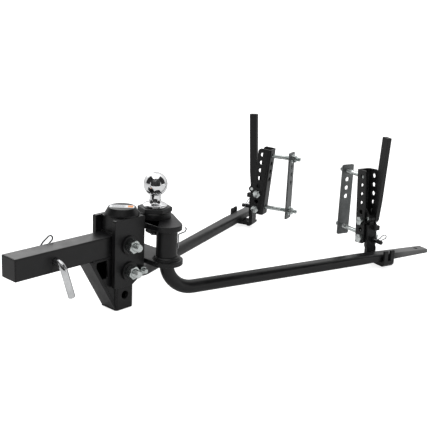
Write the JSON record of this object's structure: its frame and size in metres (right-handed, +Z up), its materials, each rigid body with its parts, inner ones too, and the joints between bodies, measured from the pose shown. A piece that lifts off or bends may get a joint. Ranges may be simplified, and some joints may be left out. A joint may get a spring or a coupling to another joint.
{
  "type": "weight distribution hitch",
  "caption": "Round-bar weight distribution hitch: square drop shank, head with tow ball, bent spring bars and snap-up lift brackets with frame clamps.",
  "frame": {"origin": "middle of the shank's front end face", "axes": "+X back along the hitch, away from the towing vehicle; +Y to the vehicle's right; +Z up"},
  "size_m": [1.2109, 0.663, 0.3677],
  "materials": {
    "black_powder_coat": "satin black powder coat with fine orange peel",
    "chrome": "mirror chrome",
    "zinc_plate": "clear zinc plate, slightly cool",
    "bright_zinc": "bright zinc plate",
    "galvanised": "dull zinc plate",
    "spring_wire": "zinc-plated spring wire",
    "bushing_nylon": "moulded nylon",
    "label_film": "blank label film"
  },
  "bodies": {
    "head": {"shank_bar": "black_powder_coat", "drop_tube": "black_powder_coat", "gusset_side_plates": "black_powder_coat", "gusset_front_plate": "black_powder_coat", "left_cheek": "black_powder_coat", "right_cheek": "black_powder_coat", "top_cap": "black_powder_coat", "cap_label": "label_film", "ball_platform": "black_powder_coat", "lower_plate": "black_powder_coat", "head_back_plate": "black_powder_coat", "head_upper_plate": "black_powder_coat", "trunnion_tubes": "black_powder_coat", "trunnion_collars": "black_powder_coat", "trunnion_bushings": "bushing_nylon", "bar_clips": "spring_wire", "head_bolts": "zinc_plate", "head_bolt_discs": "black_powder_coat", "head_bolt_nuts": "zinc_plate", "tilt_bolt": "zinc_plate", "hitch_ball": "chrome", "ball_base_ring": "black_powder_coat", "ball_hex_ring": "black_powder_coat", "ball_lock_washer": "black_powder_coat", "ball_nut": "black_powder_coat"},
    "hitch_pin": {"hitch_pin": "bright_zinc"},
    "hitch_pin_clip": {"hitch_pin_clip": "spring_wire"},
    "left_bar": {"left_spring_bar": "black_powder_coat"},
    "left_hook": {"left_lift_hook": "black_powder_coat", "left_keeper_pin": "black_powder_coat"},
    "left_keeper_clip": {"left_keeper_clip": "spring_wire"},
    "left_lever": {"left_lever_bar": "black_powder_coat", "left_lever_side_plate": "black_powder_coat", "left_link_pin": "zinc_plate"},
    "left_bracket": {"left_bracket_channel": "black_powder_coat", "left_pivot_bolt": "zinc_plate", "left_stop_bolt": "zinc_plate", "left_frame_bolts": "zinc_plate"},
    "left_clamp": {"left_clamp_plate": "galvanised", "left_frame_nuts": "zinc_plate"},
    "right_bar": {"right_spring_bar": "black_powder_coat"},
    "right_hook": {"right_lift_hook": "black_powder_coat", "right_keeper_pin": "black_powder_coat"},
    "right_keeper_clip": {"right_keeper_clip": "spring_wire"},
    "right_lever": {"right_lever_bar": "black_powder_coat", "right_lever_side_plate": "black_powder_coat", "right_link_pin": "zinc_plate"},
    "right_bracket": {"right_bracket_channel": "black_powder_coat", "right_pivot_bolt": "zinc_plate", "right_stop_bolt": "zinc_plate", "right_frame_bolts": "zinc_plate"},
    "right_clamp": {"right_clamp_plate": "galvanised", "right_frame_nuts": "zinc_plate"}
  },
  "joints": [
    {"name": "hitch_pin_turn", "type": "hinge", "parent": "head", "child": "hitch_pin", "pos_m": [0.1016, 0, 0], "axis": [0, 1, 0], "continuous": true},
    {"name": "hitch_pin_clip_pull", "type": "slide", "parent": "hitch_pin", "child": "hitch_pin_clip", "axis": [0.8192, 0, 0.5736], "range_m": [0, 0.035]},
    {"name": "left_bar_swivel", "type": "hinge", "parent": "head", "child": "left_bar", "pos_m": [0.399, -0.0638, -0.05], "axis": [0, 0, -1], "range_deg": [-5, 70]},
    {"name": "left_hook_slide", "type": "slide", "parent": "left_bar", "child": "left_hook", "axis": [0.955, -0.2956, 0.024], "range_m": [-0.06, 0.09]},
    {"name": "left_keeper_clip_pull", "type": "slide", "parent": "left_hook", "child": "left_keeper_clip", "axis": [0.9269, -0.2869, 0.2419], "range_m": [0, 0.03]},
    {"name": "left_lever_swing", "type": "hinge", "parent": "left_hook", "child": "left_lever", "pos_m": [1.0619, -0.22189, -0.03], "axis": [0.9553, -0.2957, 0], "range_deg": [0, 70]},
    {"name": "left_bracket_level", "type": "hinge", "parent": "left_lever", "child": "left_bracket", "pos_m": [1.06666, -0.19974, -0.04136], "axis": [0.9553, -0.2957, 0], "range_deg": [-70, 0]},
    {"name": "left_clamp_slide", "type": "slide", "parent": "left_bracket", "child": "left_clamp", "axis": [-0.2957, -0.9553, 0], "range_m": [0, 0.045]},
    {"name": "right_bar_swivel", "type": "hinge", "parent": "head", "child": "right_bar", "pos_m": [0.399, 0.0638, -0.05], "axis": [0, 0, 1], "range_deg": [-5, 70]},
    {"name": "right_hook_slide", "type": "slide", "parent": "right_bar", "child": "right_hook", "axis": [0.955, 0.2956, 0.024], "range_m": [-0.06, 0.09]},
    {"name": "right_keeper_clip_pull", "type": "slide", "parent": "right_hook", "child": "right_keeper_clip", "axis": [0.9269, 0.2869, 0.2419], "range_m": [0, 0.03]},
    {"name": "right_lever_swing", "type": "hinge", "parent": "right_hook", "child": "right_lever", "pos_m": [1.0619, 0.22189, -0.03], "axis": [-0.9553, -0.2957, 0], "range_deg": [0, 70]},
    {"name": "right_bracket_level", "type": "hinge", "parent": "right_lever", "child": "right_bracket", "pos_m": [1.06666, 0.19974, -0.04136], "axis": [-0.9553, -0.2957, 0], "range_deg": [-70, 0]},
    {"name": "right_clamp_slide", "type": "slide", "parent": "right_bracket", "child": "right_clamp", "axis": [-0.2957, 0.9553, 0], "range_m": [0, 0.045]}
  ],
  "couplings": [
    {"joint": "left_bracket_level", "follows": "left_lever_swing", "ratio": -1},
    {"joint": "right_bracket_level", "follows": "right_lever_swing", "ratio": -1}
  ]
}
